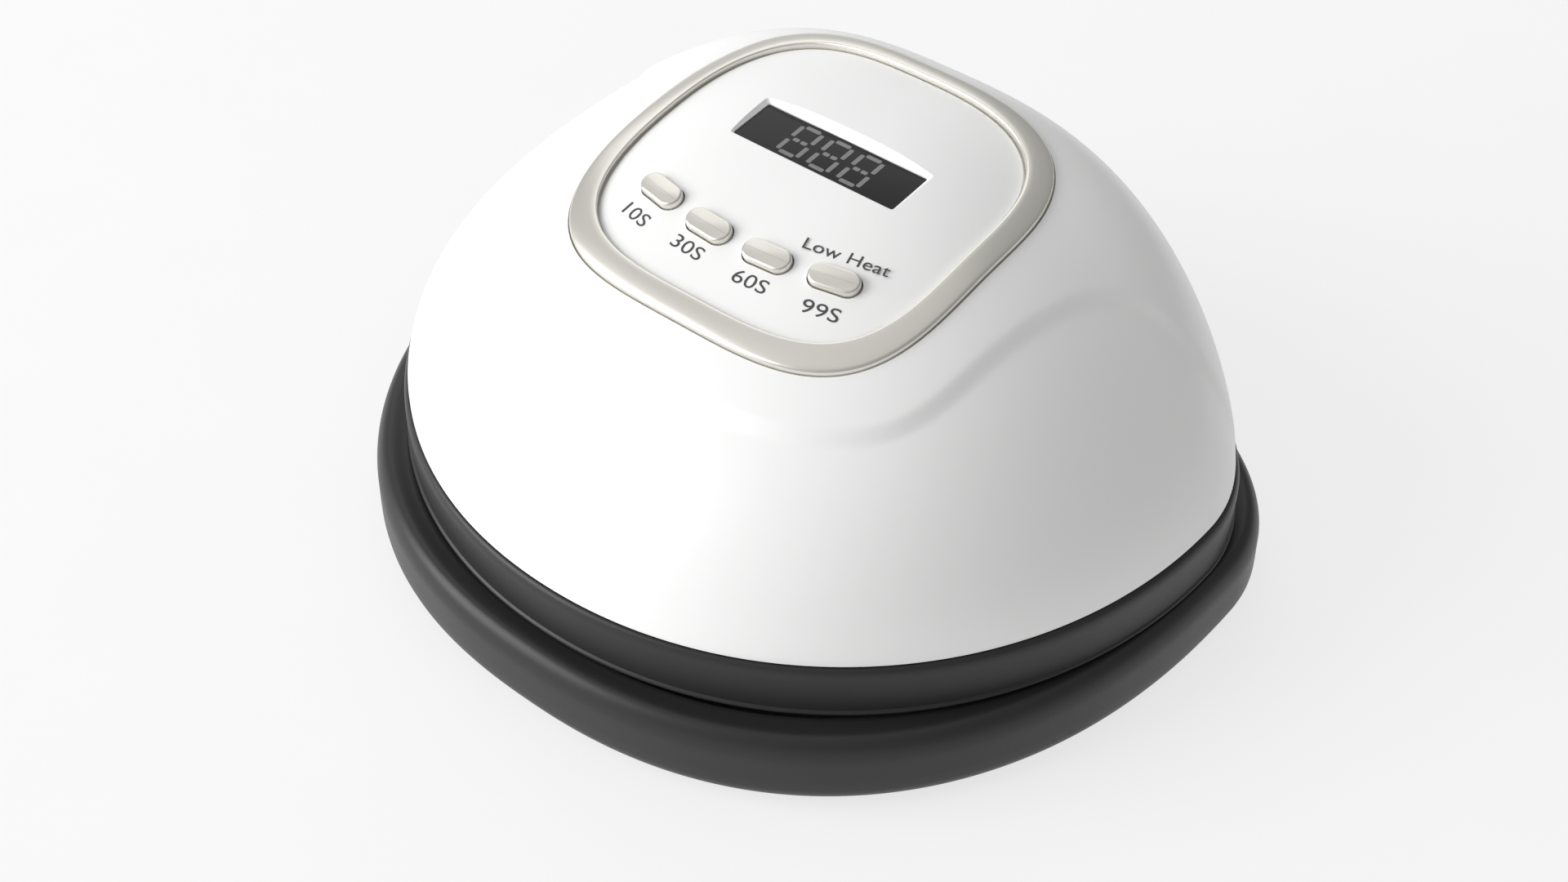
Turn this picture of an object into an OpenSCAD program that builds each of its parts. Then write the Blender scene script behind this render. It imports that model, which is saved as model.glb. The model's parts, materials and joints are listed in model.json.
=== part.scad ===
/* [Base tray] */
// Half of the tray's width
half_w = 120; // [115:1:125]
// Depth from the widest line to the front edge
front_d = 135.5; // [130:0.5:140]
// Depth from the widest line to the back edge
back_d = 64.5; // [60:0.5:70]
// Height of the tray's rim
rim_h = 22.5; // [21:0.5:22.5]
// Height of the rubber feet
foot_h = 1.5; // [1:0.1:2]

/* [Lamp head] */
// Half of the shell's width at its edge
head_half_w = 113.8; // [113:0.2:114.4]
// Depth from the shell's widest line to its front
head_front_d = 117; // [115:0.5:118]
// Depth from the shell's widest line to its back
head_back_d = 69; // [67:0.5:69]
// How far the dark housing band stands out from the shell
band_out = 1.5; // [1:0.1:1.6]
// Height of the band's foot
band_foot = 23.2; // [23:0.1:24]
// Height of the seam between band and shell
shell_edge = 38.5; // [38:0.5:40]
// Height of the dome's top
top_h = 106.2; // [104:0.1:108]
// Wall of the moulded shell
wall = 2.2; // [1.8:0.1:2.6]

/* [Hand opening] */
// Half of the opening's width at its foot
mouth_half_w = 90; // [84:1:92]
// How far the opening's top rises above the band's foot
mouth_rise = 40; // [34:1:42]

/* [Control panel] */
// Half of the panel opening's width
panel_half_w = 50; // [48:0.5:51]
// Half of the panel opening's depth
panel_half_d = 47.5; // [46:0.5:49]
// Width of the metal trim ring
ring_w = 7; // [6:0.5:8]
// Width of the display window
display_w = 50; // [46:0.5:52]
// Depth of the display window
display_d = 14.2; // [12:0.2:16]
// Length of a button
button_l = 13.4; // [12:0.2:14]
// Width of a button
button_w = 6.5; // [6:0.1:7]

/* [Light sources] */
// Height of the reflector's ceiling
ceiling_z = 76; // [74:0.5:77]
// Radius of an LED's lens
bead_r = 2.6; // [2.2:0.1:3]

/* [Power inlet] */
// Radius of the inlet's bore
inlet_r = 2.9; // [2.6:0.05:3.1]

/* [Hidden] */
$fn = 40;

// Plan shapes: a front half and a back half, each a superellipse about the widest line
tray_y = (front_d - back_d) / 2;
n_tray_front = 2.28;
n_tray_back = 2.1;
head_y = 27;                // the shell is widest here
n_front = 2.05;
n_back = 2;
steps = 96;                 // points round an outline
dome_p = 1.3;               // how the dome's side curves over
dome_q = 2.4;               // how the dome's crown flattens
crown_shift = 19;           // the crown lies this far behind the widest line
n_crown = 2.9;              // the sections' squareness at the crown
dome_rise = top_h - shell_edge;
lowering = 0.9;             // an inner surface lies this share of its depth lower at the crown

function blend(a, b, t) = a + (b - a) * t;
function clamp01(t) = max(0, min(1, t));
function smooth(t) = let (c = clamp01(t)) c * c * (3 - 2 * c);
// Distance from the centre of a superellipse with half sides w and d to its edge, at angle a
function oval_r(a, w, d, n) = pow(pow(abs(cos(a)) / w, n) + pow(abs(sin(a)) / d, n), -1 / n);

// A point of the tray's outline at angle a, inset i
function tray_pt(a, z, i) =
    let (front = sin(a) < 0)
    let (r = oval_r(a, half_w - i, (front ? front_d : back_d) - i, front ? n_tray_front : n_tray_back))
    [r * cos(a), tray_y + r * sin(a), z];

// The head's outline at angle a, inset i, with the exponents blended to the crown's by u
function head_r(a, i, u) =
    let (front = sin(a) < 0)
    let (n = blend(front ? n_front : n_back, n_crown, u))
    oval_r(a, head_half_w - i, (front ? head_front_d : head_back_d) - i, n);

// A wall point at angle a and height z: upright below the seam, on the dome above it
function wall_pt(a, z, i) =
    let (u = clamp01((z - shell_edge) / (dome_rise - i * lowering)))
    let (r = head_r(a, i, u) * pow(max(0, 1 - pow(u, dome_p)), 1 / dome_q))
    [r * cos(a), head_y + crown_shift * u * u + r * sin(a), z];

// Height of the dome's surface, lowered by i, over a plan point, found by repeated correction
function dome_norm(x, y, u, i) =
    let (dy = y - head_y - crown_shift * u * u)
    let (n = blend(dy < 0 ? n_front : n_back, n_crown, u))
    let (d = (dy < 0 ? head_front_d : head_back_d) - i)
    pow(pow(abs(x) / (head_half_w - i), n) + pow(abs(dy) / d, n), 1 / n);
function dome_u(x, y, i, u, left) =
    let (k = min(1, dome_norm(x, y, u, i)))
    let (next = pow(max(0, 1 - pow(k, dome_q)), 1 / dome_p))
    left == 0 ? next : dome_u(x, y, i, blend(u, next, 0.65), left - 1);
function dome_z(x, y, i) = shell_edge + (dome_rise - i * lowering) * dome_u(x, y, i, 0.8, 14);

// The hand opening lifts the housing's foot and the shell's edge at the back
function mouth_lift(a) =
    sin(a) <= 0 ? 0 : smooth((mouth_half_w - abs(head_r(a, 0, 0) * cos(a))) / mouth_ramp);
mouth_ramp = 26;
frame_lift = mouth_rise - 8;    // the shell's edge rises less, so the band narrows over the opening
function foot_z(a) = band_foot + mouth_rise * mouth_lift(a);
function edge_z(a) = shell_edge + frame_lift * mouth_lift(a);

// The control panel's outline: a squarish oval round its own centre
panel_y = 11.4;
n_panel = 2.9;
function panel_pt(a, grow) =
    let (r = oval_r(a, panel_half_w + grow, panel_half_d + grow, n_panel))
    [r * cos(a), panel_y + r * sin(a)];
function on_dome(p, d) = [p[0], p[1], dome_z(p[0], p[1], 0) + d];

// A closed body from rows of points, each row a ring of n points, with the last row joined to the first
module ring_loft(rows, n) {
    m = len(rows);
    polyhedron(
        points = [for (row = rows) for (p = row) p],
        faces = [for (j = [0:m - 1]) for (k = [0:n - 1])
            let (j2 = (j + 1) % m)
            let (k2 = (k + 1) % n)
            each [
                [j * n + k, j2 * n + k, j2 * n + k2],
                [j * n + k, j2 * n + k2, j * n + k2]]]);
}
// A closed body from rows of points with its first and last rows capped round a middle point
module capped_loft(rows, low, high, n) {
    m = len(rows);
    polyhedron(
        points = concat([for (row = rows) for (p = row) p], [low, high]),
        faces = concat(
            [for (j = [0:m - 2]) for (k = [0:n - 1])
                let (k2 = (k + 1) % n)
                each [
                    [j * n + k, (j + 1) * n + k, (j + 1) * n + k2],
                    [j * n + k, (j + 1) * n + k2, j * n + k2]]],
            [for (k = [0:n - 1]) [m * n, k, (k + 1) % n]],
            [for (k = [0:n - 1]) [m * n + 1, (m - 1) * n + (k + 1) % n, (m - 1) * n + k]]));
}
function angles(n) = [for (k = [0:n - 1]) 360 * k / n];
function tray_ring(i, z) = [for (a = angles(steps)) tray_pt(a, z, i)];
function tray_outline(i) = [for (a = angles(steps)) let (p = tray_pt(a, 0, i)) [p[0], p[1]]];

// ---------- base tray ----------
tray_foot_z = foot_h;       // underside of the tray's floor
tray_floor_z = foot_h + 3;  // top of the tray's floor
ledge_in = 9.5;             // the rim is this wide
module tray_dish() {
    capped_loft([
        tray_ring(5, tray_foot_z),
        tray_ring(1.5, tray_foot_z + 1.5),
        tray_ring(0, tray_foot_z + 5),
        tray_ring(0.3, rim_h - 6),
        tray_ring(1.2, rim_h - 2.4),
        tray_ring(2.6, rim_h - 0.6),
        tray_ring(4.4, rim_h),
        tray_ring(ledge_in - 0.6, rim_h),
        tray_ring(ledge_in, rim_h - 0.6),
        tray_ring(ledge_in + 0.6, tray_floor_z)],
        [0, tray_y, tray_foot_z], [0, tray_y, tray_floor_z], steps);
}
module base_tray() {
    color("#3a3a3b")
    difference() {
        union() {
            tray_dish();
            for (p = magnet_spots) translate([p[0], p[1], tray_floor_z - 1])
                cylinder(r = boss_r, h = rim_h - tray_floor_z + 1);
        }
        for (p = magnet_spots) translate([p[0], p[1], rim_h - magnet_h])
            cylinder(r = magnet_r, h = magnet_h + 1);
    }
}
magnet_r = 5;
magnet_h = 2;
head_magnet_h = 1.4;
magnet_spots = [[-88, -25], [88, -25], [-86, 58], [86, 58]];
boss_r = 7;                 // the tray's magnets sit in bosses just under the head's magnets
magnet_gap = 0.05;          // glue gap round and over a magnet
module tray_magnets() {
    color("silver") for (p = magnet_spots)
        translate([p[0], p[1], rim_h - magnet_h])
            cylinder(r = magnet_r - magnet_gap, h = magnet_h - magnet_gap);
}
reflector_inset = 40;
module tray_reflector() {
    color("#d8d8d8") translate([0, 0, tray_floor_z])
        linear_extrude(0.8) polygon(tray_outline(reflector_inset));
}
foot_r = 7;
foot_spots = [[-78, -50], [78, -50], [-82, 62], [82, 62]];
module tray_feet() {
    color("#202020") for (p = foot_spots) translate([p[0], p[1], 0])
        cylinder(r = foot_r, h = foot_h);
}

// ---------- lower housing and shell ----------
flange_in = 26;             // the flange reaches in to the reflector's skirt
flange_t = 2;
seam_gap = 0.2;             // the band ends this far under the shell's edge
pocket_gap = 0.3;           // the pocket is this much deeper than its magnet
function band_ring(lift, above_foot, i) =
    [for (a = angles(steps)) wall_pt(a, above_foot ? foot_z(a) + lift : edge_z(a) + lift, i)];
module lower_housing() {
    color("#3b3b3c")
    difference() {
        ring_loft([
            band_ring(0, true, 1 - band_out),
            band_ring(1, true, -band_out),
            band_ring(-3.4, false, -band_out),
            band_ring(-1.2, false, 0.6 - band_out),
            band_ring(-seam_gap, false, 1.6 - band_out),
            band_ring(-seam_gap, false, wall),
            band_ring(flange_t, true, wall),
            band_ring(0, true, wall)], steps);
        translate([-half_w, head_y, inlet_z]) rotate([0, 90, 0]) cylinder(r = inlet_barrel_r + 0.2, h = 20);
    }
}
// The flat flange inside the band's foot, which follows the hand opening's arch
module housing_flange() {
    color("#3b3b3c")
    difference() {
        ring_loft([
            band_ring(0, true, wall),
            band_ring(flange_t, true, wall),
            band_ring(flange_t, true, flange_in),
            band_ring(0, true, flange_in)], steps);
        for (p = screw_spots) translate([p[0], p[1], band_foot - 1])
            cylinder(r = screw_hole_r, h = flange_t + 2);
        for (p = magnet_spots) translate([p[0], p[1], band_foot - 1])
            cylinder(r = magnet_r, h = 1 + head_magnet_h + pocket_gap);
    }
}
module top_shell() {
    lines = [0, 0.05, 0.11, 0.19, 0.3, 0.45, 0.62, 0.8, 1];
    color("#f4f4f4")
    ring_loft(concat(
        [for (t = lines) [for (a = angles(steps)) shell_line(a, t, 0)]],
        [for (t = [1, 0.8, 0.55, 0.3, 0.12, 0]) [for (a = angles(steps)) shell_line(a, t, wall)]]), steps);
}
// A point on the line from the shell's edge, t = 0, to the panel's opening, t = 1, wall depth d
function shell_line(a, t, d) =
    let (low = wall_pt(a, edge_z(a), d))
    let (high = panel_pt(a, 0.15))
    let (u = clamp01((edge_z(a) - shell_edge) / dome_rise))
    let (flat = blend(t, t * t, u < 0.05 ? 0.75 : 0.3))
    let (x = blend(low[0], high[0], flat))
    let (y = blend(low[1], high[1], flat))
    t == 0 ? low : [x, y, dome_z(x, y, d)];

screw_spots = [[-101.5, 12], [101.5, 12], [-48, -67], [48, -67]];
screw_hole_r = 1.7;
post_r = 4;
// A post ends where its outer edge just enters the shell's inner wall
function post_top(p) =
    let (v = p - [0, head_y])
    let (q = p + v / norm(v) * post_r)
    dome_z(q[0], q[1], wall) + 0.3;
module shell_posts() {
    color("#eeeeee") for (p = screw_spots) translate([p[0], p[1], band_foot + flange_t]) difference() {
        cylinder(r = post_r, h = post_top(p) - band_foot - flange_t);
        translate([0, 0, -1]) cylinder(r = 1.25, h = 13);
    }
}
module housing_screws() {
    color("gray") for (p = screw_spots) translate([p[0], p[1], band_foot]) {
        translate([0, 0, -1.6]) cylinder(r = 3, h = 1.6);
        cylinder(r = 1.2, h = 12);
    }
}
module head_magnets() {
    color("silver") for (p = magnet_spots) translate([p[0], p[1], band_foot + magnet_gap])
        cylinder(r = magnet_r - magnet_gap, h = head_magnet_h);
}

// ---------- control panel ----------
panel_t = 2.4;
window_y = 18.7;
window_tilt = 4;
window_sink = 1.4;
window_z = dome_z(0, window_y, 0) - window_sink;
button_y = [-12.9, -16, -16, -12.9];
button_x = [-27, -9.1, 9.1, 27];
button_yaw = [-13, -4, 4, 13];
slope_step = 1;
// The dome's outward normal over a plan point
function dome_normal(x, y) =
    let (gx = (dome_z(x + slope_step, y, 0) - dome_z(x - slope_step, y, 0)) / (2 * slope_step))
    let (gy = (dome_z(x, y + slope_step, 0) - dome_z(x, y - slope_step, 0)) / (2 * slope_step))
    let (v = [-gx, -gy, 1])
    v / norm(v);
// Places its children on the panel at button b, with +Z along the panel's normal there
module at_button(b) {
    x = button_x[b];
    y = button_y[b];
    nrm = dome_normal(x, y);
    across = nrm[0] * cos(button_yaw[b]) + nrm[1] * sin(button_yaw[b]);
    along = nrm[1] * cos(button_yaw[b]) - nrm[0] * sin(button_yaw[b]);
    translate([x, y, dome_z(x, y, 0)])
        rotate([-asin(along), atan2(across, nrm[2]), button_yaw[b]])
        children();
}
module pill(l, w, h) {
    translate([-(l - w) / 2, 0, 0]) cylinder(r = w / 2, h = h);
    translate([(l - w) / 2, 0, 0]) cylinder(r = w / 2, h = h);
    translate([-(l - w) / 2, -w / 2, 0]) cube([l - w, w, h]);
}
panel_steps = 48;
// A row of the panel at share s of the way from its middle to its rim, lifted by d
function panel_row(s, d) = [for (a = angles(panel_steps))
    let (p = panel_pt(a, 0))
    on_dome([p[0] * s, panel_y + (p[1] - panel_y) * s], d)];
gap = 0.35;                 // clearance round a button and under the trim ring
module control_panel() {
    color("#f2f2f2")
    difference() {
        capped_loft(concat(
            [for (s = [0.35, 0.7, 1]) panel_row(s, -panel_t)],
            [for (s = [1, 0.85, 0.7, 0.52, 0.35, 0.17]) panel_row(s, 0)]),
            on_dome([0, panel_y], -panel_t), on_dome([0, panel_y], 0), panel_steps);
        translate([-display_w / 2 - 0.1, window_y - display_d / 2 - 0.1, window_z - 12])
            cube([display_w + 0.2, display_d + 0.2, 24]);
        for (b = [0:3]) at_button(b) translate([0, 0, -6]) pill(button_l + 2 * gap, button_w + 2 * gap, 12);
    }
}
ring_steps = 72;
module trim_ring() {
    half = ring_w / 2;
    grow = [-half, -half + 0.5, half - 0.5, half, half, -half];
    lift = [1.1, 1.4, 1.4, 0.9, gap, gap];
    color("#d7d6d0")
    ring_loft([for (j = [5:-1:0])
        [for (a = angles(ring_steps)) on_dome(panel_pt(a, grow[j]), lift[j])]], ring_steps);
}
module display_window() {
    color("#161616") translate([0, window_y, window_z]) rotate([window_tilt, 0, 0])
        translate([-display_w / 2, -display_d / 2, -1.2]) cube([display_w, display_d, 1.2]);
}
module display_module() {
    color("#303030") translate([0, window_y, window_z]) rotate([window_tilt, 0, 0])
        translate([-display_w / 2 + 1, -display_d / 2 + 0.5, -9]) cube([display_w - 2, display_d - 1, 7.7]);
}

// ---------- control board, parallel to the row of buttons ----------
board_tilt = 12;
board_y = 2;
board_z = 89.3;
board_t = 1.6;
board_w = 78;
board_d = 50;
module on_board() {
    translate([0, board_y, board_z]) rotate([board_tilt, 0, 0]) children();
}
board_screw_spots = [[-34, -20], [34, -20], [-34, 20], [34, 20]];
module control_board() {
    color("darkgreen") on_board() difference() {
        translate([-board_w / 2, -board_d / 2, -board_t]) cube([board_w, board_d, board_t]);
        for (p = board_screw_spots) translate([p[0], p[1], -board_t - 1]) cylinder(r = 1.3, h = board_t + 2);
    }
}
module control_chips() {
    color("#181818") on_board() {
        translate([-6, -6, -board_t - 2.1]) cube([12, 12, 2]);
        translate([14, -4, -board_t - 1.6]) cube([8, 6, 1.5]);
        translate([-24, -4, -board_t - 1.6]) cube([6, 5, 1.5]);
        translate([-21, 12, -board_t - 3.1]) cylinder(r = 2.5, h = 3);
    }
}
module board_posts() {
    color("#eeeeee") on_board() for (p = board_screw_spots) translate([p[0], p[1], 0]) difference() {
        cylinder(r = 3, h = post_h(p));
        translate([0, 0, -1]) cylinder(r = 1.05, h = 3.2);
    }
}
function post_h(p) =
    let (y = board_y + p[1] * cos(board_tilt))
    let (z = board_z + p[1] * sin(board_tilt))
    max(3.2, dome_z(abs(p[0]) + 3, y < 0 ? y - 4 : y, 0) - panel_t - z - 0.6);
module board_screws() {
    color("gray") on_board() for (p = board_screw_spots) translate([p[0], p[1], -board_t]) {
        translate([0, 0, -1.3]) cylinder(r = 2.2, h = 1.3);
        cylinder(r = 0.95, h = board_t + 1.9);
    }
}
switch_h = 3.4;
module at_switch(b) {
    x = button_x[b];
    y = (button_y[b] - board_y) / cos(board_tilt) - 1.6;
    on_board() translate([x * 0.97, y, 0]) children();
}
module tact_switches() {
    color("dimgray") for (b = [0:3]) at_switch(b) {
        translate([-3, -3, 0.05]) cube([6, 6, switch_h - 0.05]);
        cylinder(r = 1.7, h = switch_h + 0.8);
    }
}
button_proud = 1.6;
stem_l = 2.2;
module button(b) {
    color("#d9d8d2") at_button(b) {
        translate([0, 0, -panel_t]) pill(button_l, button_w, panel_t + button_proud);
        translate([0, 0, -panel_t - 1.5]) pill(button_l + 1.8, button_w + 1.8, 1);
        translate([0, 0, -panel_t - stem_l]) cylinder(r = 1.8, h = stem_l);
    }
}

// ---------- reflector and light sources ----------
ceiling_t = 1.5;
skirt_t = 1.6;
skirt_foot_in = flange_in + 0.6;
ceiling_half_w = 66;
ceiling_front = -48;
ceiling_back = 73;
ceiling_y = (ceiling_front + ceiling_back) / 2;
n_ceiling = 2.6;
function ceiling_pt(a, grow) =
    let (d = (ceiling_back - ceiling_front) / 2 + grow)
    let (r = oval_r(a, ceiling_half_w + grow, d, n_ceiling))
    [r * cos(a), ceiling_y + r * sin(a)];
// A skirt point: t = 0 at its foot, 1 at the ceiling; the side bows outward between
function skirt_pt(a, t, d) =
    let (low = wall_pt(a, foot_z(a), skirt_foot_in + d))
    let (high = ceiling_pt(a, -d))
    let (s = 1 - cos(90 * t))
    [blend(low[0], high[0], s), blend(low[1], high[1], s), blend(foot_z(a), ceiling_z, sin(90 * t))];
module reflector_skirt() {
    color("#e8e8e8")
    ring_loft(concat(
        [for (t = [0, 0.25, 0.5, 0.75, 1]) [for (a = angles(steps)) skirt_pt(a, t, 0)]],
        [for (t = [1, 0.75, 0.5, 0.25, 0]) [for (a = angles(steps)) skirt_pt(a, t, skirt_t)]]), steps);
}
top_bead_spots = concat(
    [for (k = [0:9]) let (p = ceiling_pt(36 * k + 18, -16)) p],
    [for (k = [0:5]) let (p = ceiling_pt(60 * k, -38)) p]);
sensor_spots = [[-8, -38], [8, -38]];
module reflector_ceiling() {
    color("#e8e8e8") translate([0, 0, ceiling_z + 0.05]) difference() {
        linear_extrude(ceiling_t) polygon([for (a = angles(steps)) ceiling_pt(a, 0)]);
        for (p = top_bead_spots) translate([p[0], p[1], -1]) cylinder(r = bead_r + 0.4, h = ceiling_t + 2);
        for (p = sensor_spots) translate([p[0], p[1], -1]) cylinder(r = 2, h = ceiling_t + 2);
    }
}
led_board_z = ceiling_z + ceiling_t + 0.3;
module led_board_top() {
    color("white") translate([0, 0, led_board_z])
        linear_extrude(1.2) polygon([for (a = angles(steps)) ceiling_pt(a, -6)]);
}
module bead(h) {
    cylinder(r = bead_r, h = h);
    translate([0, 0, h]) sphere(r = bead_r);
}
module led_beads_top() {
    color("#e9e2a8") for (p = top_bead_spots) translate([p[0], p[1], led_board_z - 0.02])
        rotate([180, 0, 0]) bead(1.2);
}
module ir_sensor() {
    color("#30203a") for (p = sensor_spots) translate([p[0], p[1], led_board_z - 0.02]) rotate([180, 0, 0]) {
        cylinder(r = 1.6, h = 1.4);
        translate([0, 0, 1.4]) sphere(r = 1.6);
    }
}
// Side light sources: angle round the head, and height up the skirt
side_angles = [168, 184, 200, 216, 232, 250, 290, 308, 324, 340, 356, 12];
side_t = 0.42;
module at_side(a) {
    p = skirt_pt(a, side_t, 0);
    q = skirt_pt(a, side_t + 0.1, 0);
    e = skirt_pt(a + 2, side_t, 0);
    f = skirt_pt(a - 2, side_t, 0);
    g = e - f;
    heading = atan2(g[1], g[0]);
    v = q - p;
    lean = atan2(v[0] * -sin(heading) + v[1] * cos(heading), v[2]);
    translate(p) rotate([0, 0, heading]) rotate([90 - lean, 0, 0]) rotate([180, 0, 0]) children();
}
module led_beads_side() {
    color("#e9e2a8") for (a = side_angles) at_side(a) translate([0, 0, -0.6]) bead(skirt_t + 0.6);
}
module led_boards_side() {
    color("white") for (a = side_angles) at_side(a) translate([-7, -5, -2.2]) cube([14, 10, 1.1]);
}

// ---------- power inlet and wiring ----------
inlet_z = 31.4;
inlet_barrel_r = 5;
inlet_mouth_x = -head_half_w - band_out + 0.3;
inlet_depth = 12;
inlet_wall = 4;             // length of the bore that guides the plug
module dc_inlet() {
    color("#1c1c1c") translate([inlet_mouth_x, head_y, inlet_z]) rotate([0, 90, 0]) difference() {
        cylinder(r = inlet_barrel_r, h = inlet_depth);
        translate([0, 0, -1]) cylinder(r = inlet_r, h = inlet_wall + 1.1);
        translate([0, 0, inlet_wall]) cylinder(r = inlet_r + 0.4, h = inlet_depth - inlet_wall - 1);
    }
}
pin_sink = 4.5;
module dc_contact_pin() {
    color("gold") translate([inlet_mouth_x + pin_sink, head_y, inlet_z]) rotate([0, 90, 0])
        cylinder(r = 1, h = inlet_depth - pin_sink + 2);
}
cable_t = 0.9;
module ribbon_cable() {
    color("gainsboro") {
        translate([-7, 26, led_board_z + 1.3]) cube([14, cable_t, 13.2]);
        translate([-7, 26, led_board_z + 1.3]) cube([14, 8, cable_t]);
    }
}
wire_r = 0.8;
wire_route = [[-100.3, 31.4], [-97, 34], [-94.5, 46], [-90, 60], [-79.5, 72], [-70, 79], [-58, 80.7]];
function wire_spot(j) = [wire_route[j][0], head_y, wire_route[j][1]];
module power_wires() {
    sides = 8;
    last = len(wire_route) - 1;
    color("firebrick") for (dy = [-1.2, 1.2])
        capped_loft([for (j = [0:last])
            let (dir = wire_spot(min(last, j + 1)) - wire_spot(max(0, j - 1)))
            let (side = [-dir[2], 0, dir[0]] / norm(dir))
            [for (a = angles(sides)) wire_spot(j) + [0, dy + wire_r * cos(a), 0] + side * wire_r * sin(a)]],
            wire_spot(0) + [0, dy, 0], wire_spot(last) + [0, dy, 0], sides);
}

base_tray();
tray_reflector();
tray_magnets();
tray_feet();
top_shell();
lower_housing();
housing_flange();
shell_posts();
housing_screws();
control_panel();
trim_ring();
display_window();
display_module();
control_board();
control_chips();
board_screws();
board_posts();
tact_switches();
reflector_ceiling();
reflector_skirt();
led_board_top();
led_beads_top();
led_boards_side();
led_beads_side();
ir_sensor();
dc_inlet();
dc_contact_pin();
head_magnets();
ribbon_cable();
power_wires();
button(0);  // button_10s
button(1);  // button_30s
button(2);  // button_60s
button(3);  // button_99s
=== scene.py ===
# %% [markdown]
# # A domed curing lamp in three shells
#
# The lamp is a white moulded dome on a dark housing band, and the pair stands on a dark base tray
# that lifts away. A metallised ring frames a control panel with a display and four timer buttons.
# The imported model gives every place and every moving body. This script makes the surfaces that the
# eye sees, and gives each piece the finish of its real process.

# %% Load the frame
import json
import math

import bpy
from mathutils import Euler, Matrix, Vector


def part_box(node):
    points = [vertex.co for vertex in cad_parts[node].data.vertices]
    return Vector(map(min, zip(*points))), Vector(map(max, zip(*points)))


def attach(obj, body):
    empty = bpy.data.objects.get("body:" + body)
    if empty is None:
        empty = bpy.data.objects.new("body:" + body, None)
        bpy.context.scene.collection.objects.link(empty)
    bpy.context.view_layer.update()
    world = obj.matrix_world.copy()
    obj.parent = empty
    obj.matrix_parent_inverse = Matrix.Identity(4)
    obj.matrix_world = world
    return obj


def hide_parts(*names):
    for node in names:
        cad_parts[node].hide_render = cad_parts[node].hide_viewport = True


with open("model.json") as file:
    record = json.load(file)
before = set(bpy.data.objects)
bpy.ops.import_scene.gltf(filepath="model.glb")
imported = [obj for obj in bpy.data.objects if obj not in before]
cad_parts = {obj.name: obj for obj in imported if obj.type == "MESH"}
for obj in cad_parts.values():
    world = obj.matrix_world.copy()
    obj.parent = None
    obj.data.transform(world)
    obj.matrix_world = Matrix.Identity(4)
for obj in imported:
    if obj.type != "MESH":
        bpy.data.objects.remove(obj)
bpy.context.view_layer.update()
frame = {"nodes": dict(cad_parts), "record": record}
MM = 0.001

# %% [markdown]
# ## The shape of the casing, as a few formulas
#
# A moulded casing is drawn as sections that change smoothly with height. Each section here is an
# oval whose corners can be made squarer, with a front half and a back half of different depth.
# The numbers are the solid model's own, in millimetres, so the pieces fit it. Only the panel's
# outline is drawn a little squarer.

# %% Outlines and dome
TRAY = dict(half_w=120.0, front=135.5, back=64.5, y=35.5, n_front=2.28, n_back=2.1)
HEAD = dict(half_w=113.8, front=117.0, back=69.0, y=27.0, n_front=2.05, n_back=2.0)
BAND_FOOT, SHELL_EDGE, TOP = 23.2, 38.5, 106.2
DOME_P, DOME_Q, CROWN_SHIFT, N_CROWN, LOWERING = 1.3, 2.4, 19.0, 2.9, 0.9
RISE = TOP - SHELL_EDGE
WALL, BAND_OUT, FLANGE_IN, FLANGE_T = 2.2, 1.5, 26.0, 2.0
MOUTH_HALF_W, MOUTH_RAMP, FOOT_RISE, EDGE_RISE = 90.0, 26.0, 40.0, 32.0
PANEL_Y, PANEL_HALF_W, PANEL_HALF_D, N_PANEL = 11.4, 50.0, 47.5, 3.3
# the ring's seat: its depth, its outer edge in the shell and its inner edge in the panel
SEAT, SEAT_OUT, SEAT_SHARE = 0.9, 3.75, 0.934
COLUMNS = 432  # points round an outline


def blend(a, b, t):
    return a + (b - a) * t


def smooth(t):
    t = max(0.0, min(1.0, t))
    return t * t * (3 - 2 * t)


def oval_r(a, w, d, n):
    return (abs(math.cos(a) / w) ** n + abs(math.sin(a) / d) ** n) ** (-1 / n)


def tray_pt(a, z, i):
    side = "front" if math.sin(a) < 0 else "back"
    r = oval_r(a, TRAY["half_w"] - i, TRAY[side] - i, TRAY["n_" + side])
    return r * math.cos(a), TRAY["y"] + r * math.sin(a), z


def head_r(a, i, u):
    side = "front" if math.sin(a) < 0 else "back"
    return oval_r(a, HEAD["half_w"] - i, HEAD[side] - i, blend(HEAD["n_" + side], N_CROWN, u))


def wall_pt(a, z, i):
    u = max(0.0, min(1.0, (z - SHELL_EDGE) / (RISE - i * LOWERING)))
    r = head_r(a, i, u) * max(0.0, 1 - u ** DOME_P) ** (1 / DOME_Q)
    return r * math.cos(a), HEAD["y"] + CROWN_SHIFT * u * u + r * math.sin(a), z


def dome_z(x, y, i=0.0):
    u = 0.8
    for _ in range(24):
        dy = y - HEAD["y"] - CROWN_SHIFT * u * u
        side = "front" if dy < 0 else "back"
        n = blend(HEAD["n_" + side], N_CROWN, u)
        k = min(1.0, (abs(x / (HEAD["half_w"] - i)) ** n + abs(dy / (HEAD[side] - i)) ** n) ** (1 / n))
        u = blend(u, max(0.0, 1 - k ** DOME_Q) ** (1 / DOME_P), 0.6)
    return SHELL_EDGE + (RISE - i * LOWERING) * u


def mouth_lift(a):
    """How far the hand opening lifts the rims at angle a: 0 is not at all, 1 is fully."""
    if math.sin(a) <= 0:
        return 0.0
    return smooth((MOUTH_HALF_W - abs(head_r(a, 0, 0) * math.cos(a))) / MOUTH_RAMP)


def foot_z(a):
    return BAND_FOOT + FOOT_RISE * mouth_lift(a)


def edge_z(a):
    return SHELL_EDGE + EDGE_RISE * mouth_lift(a)


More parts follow.
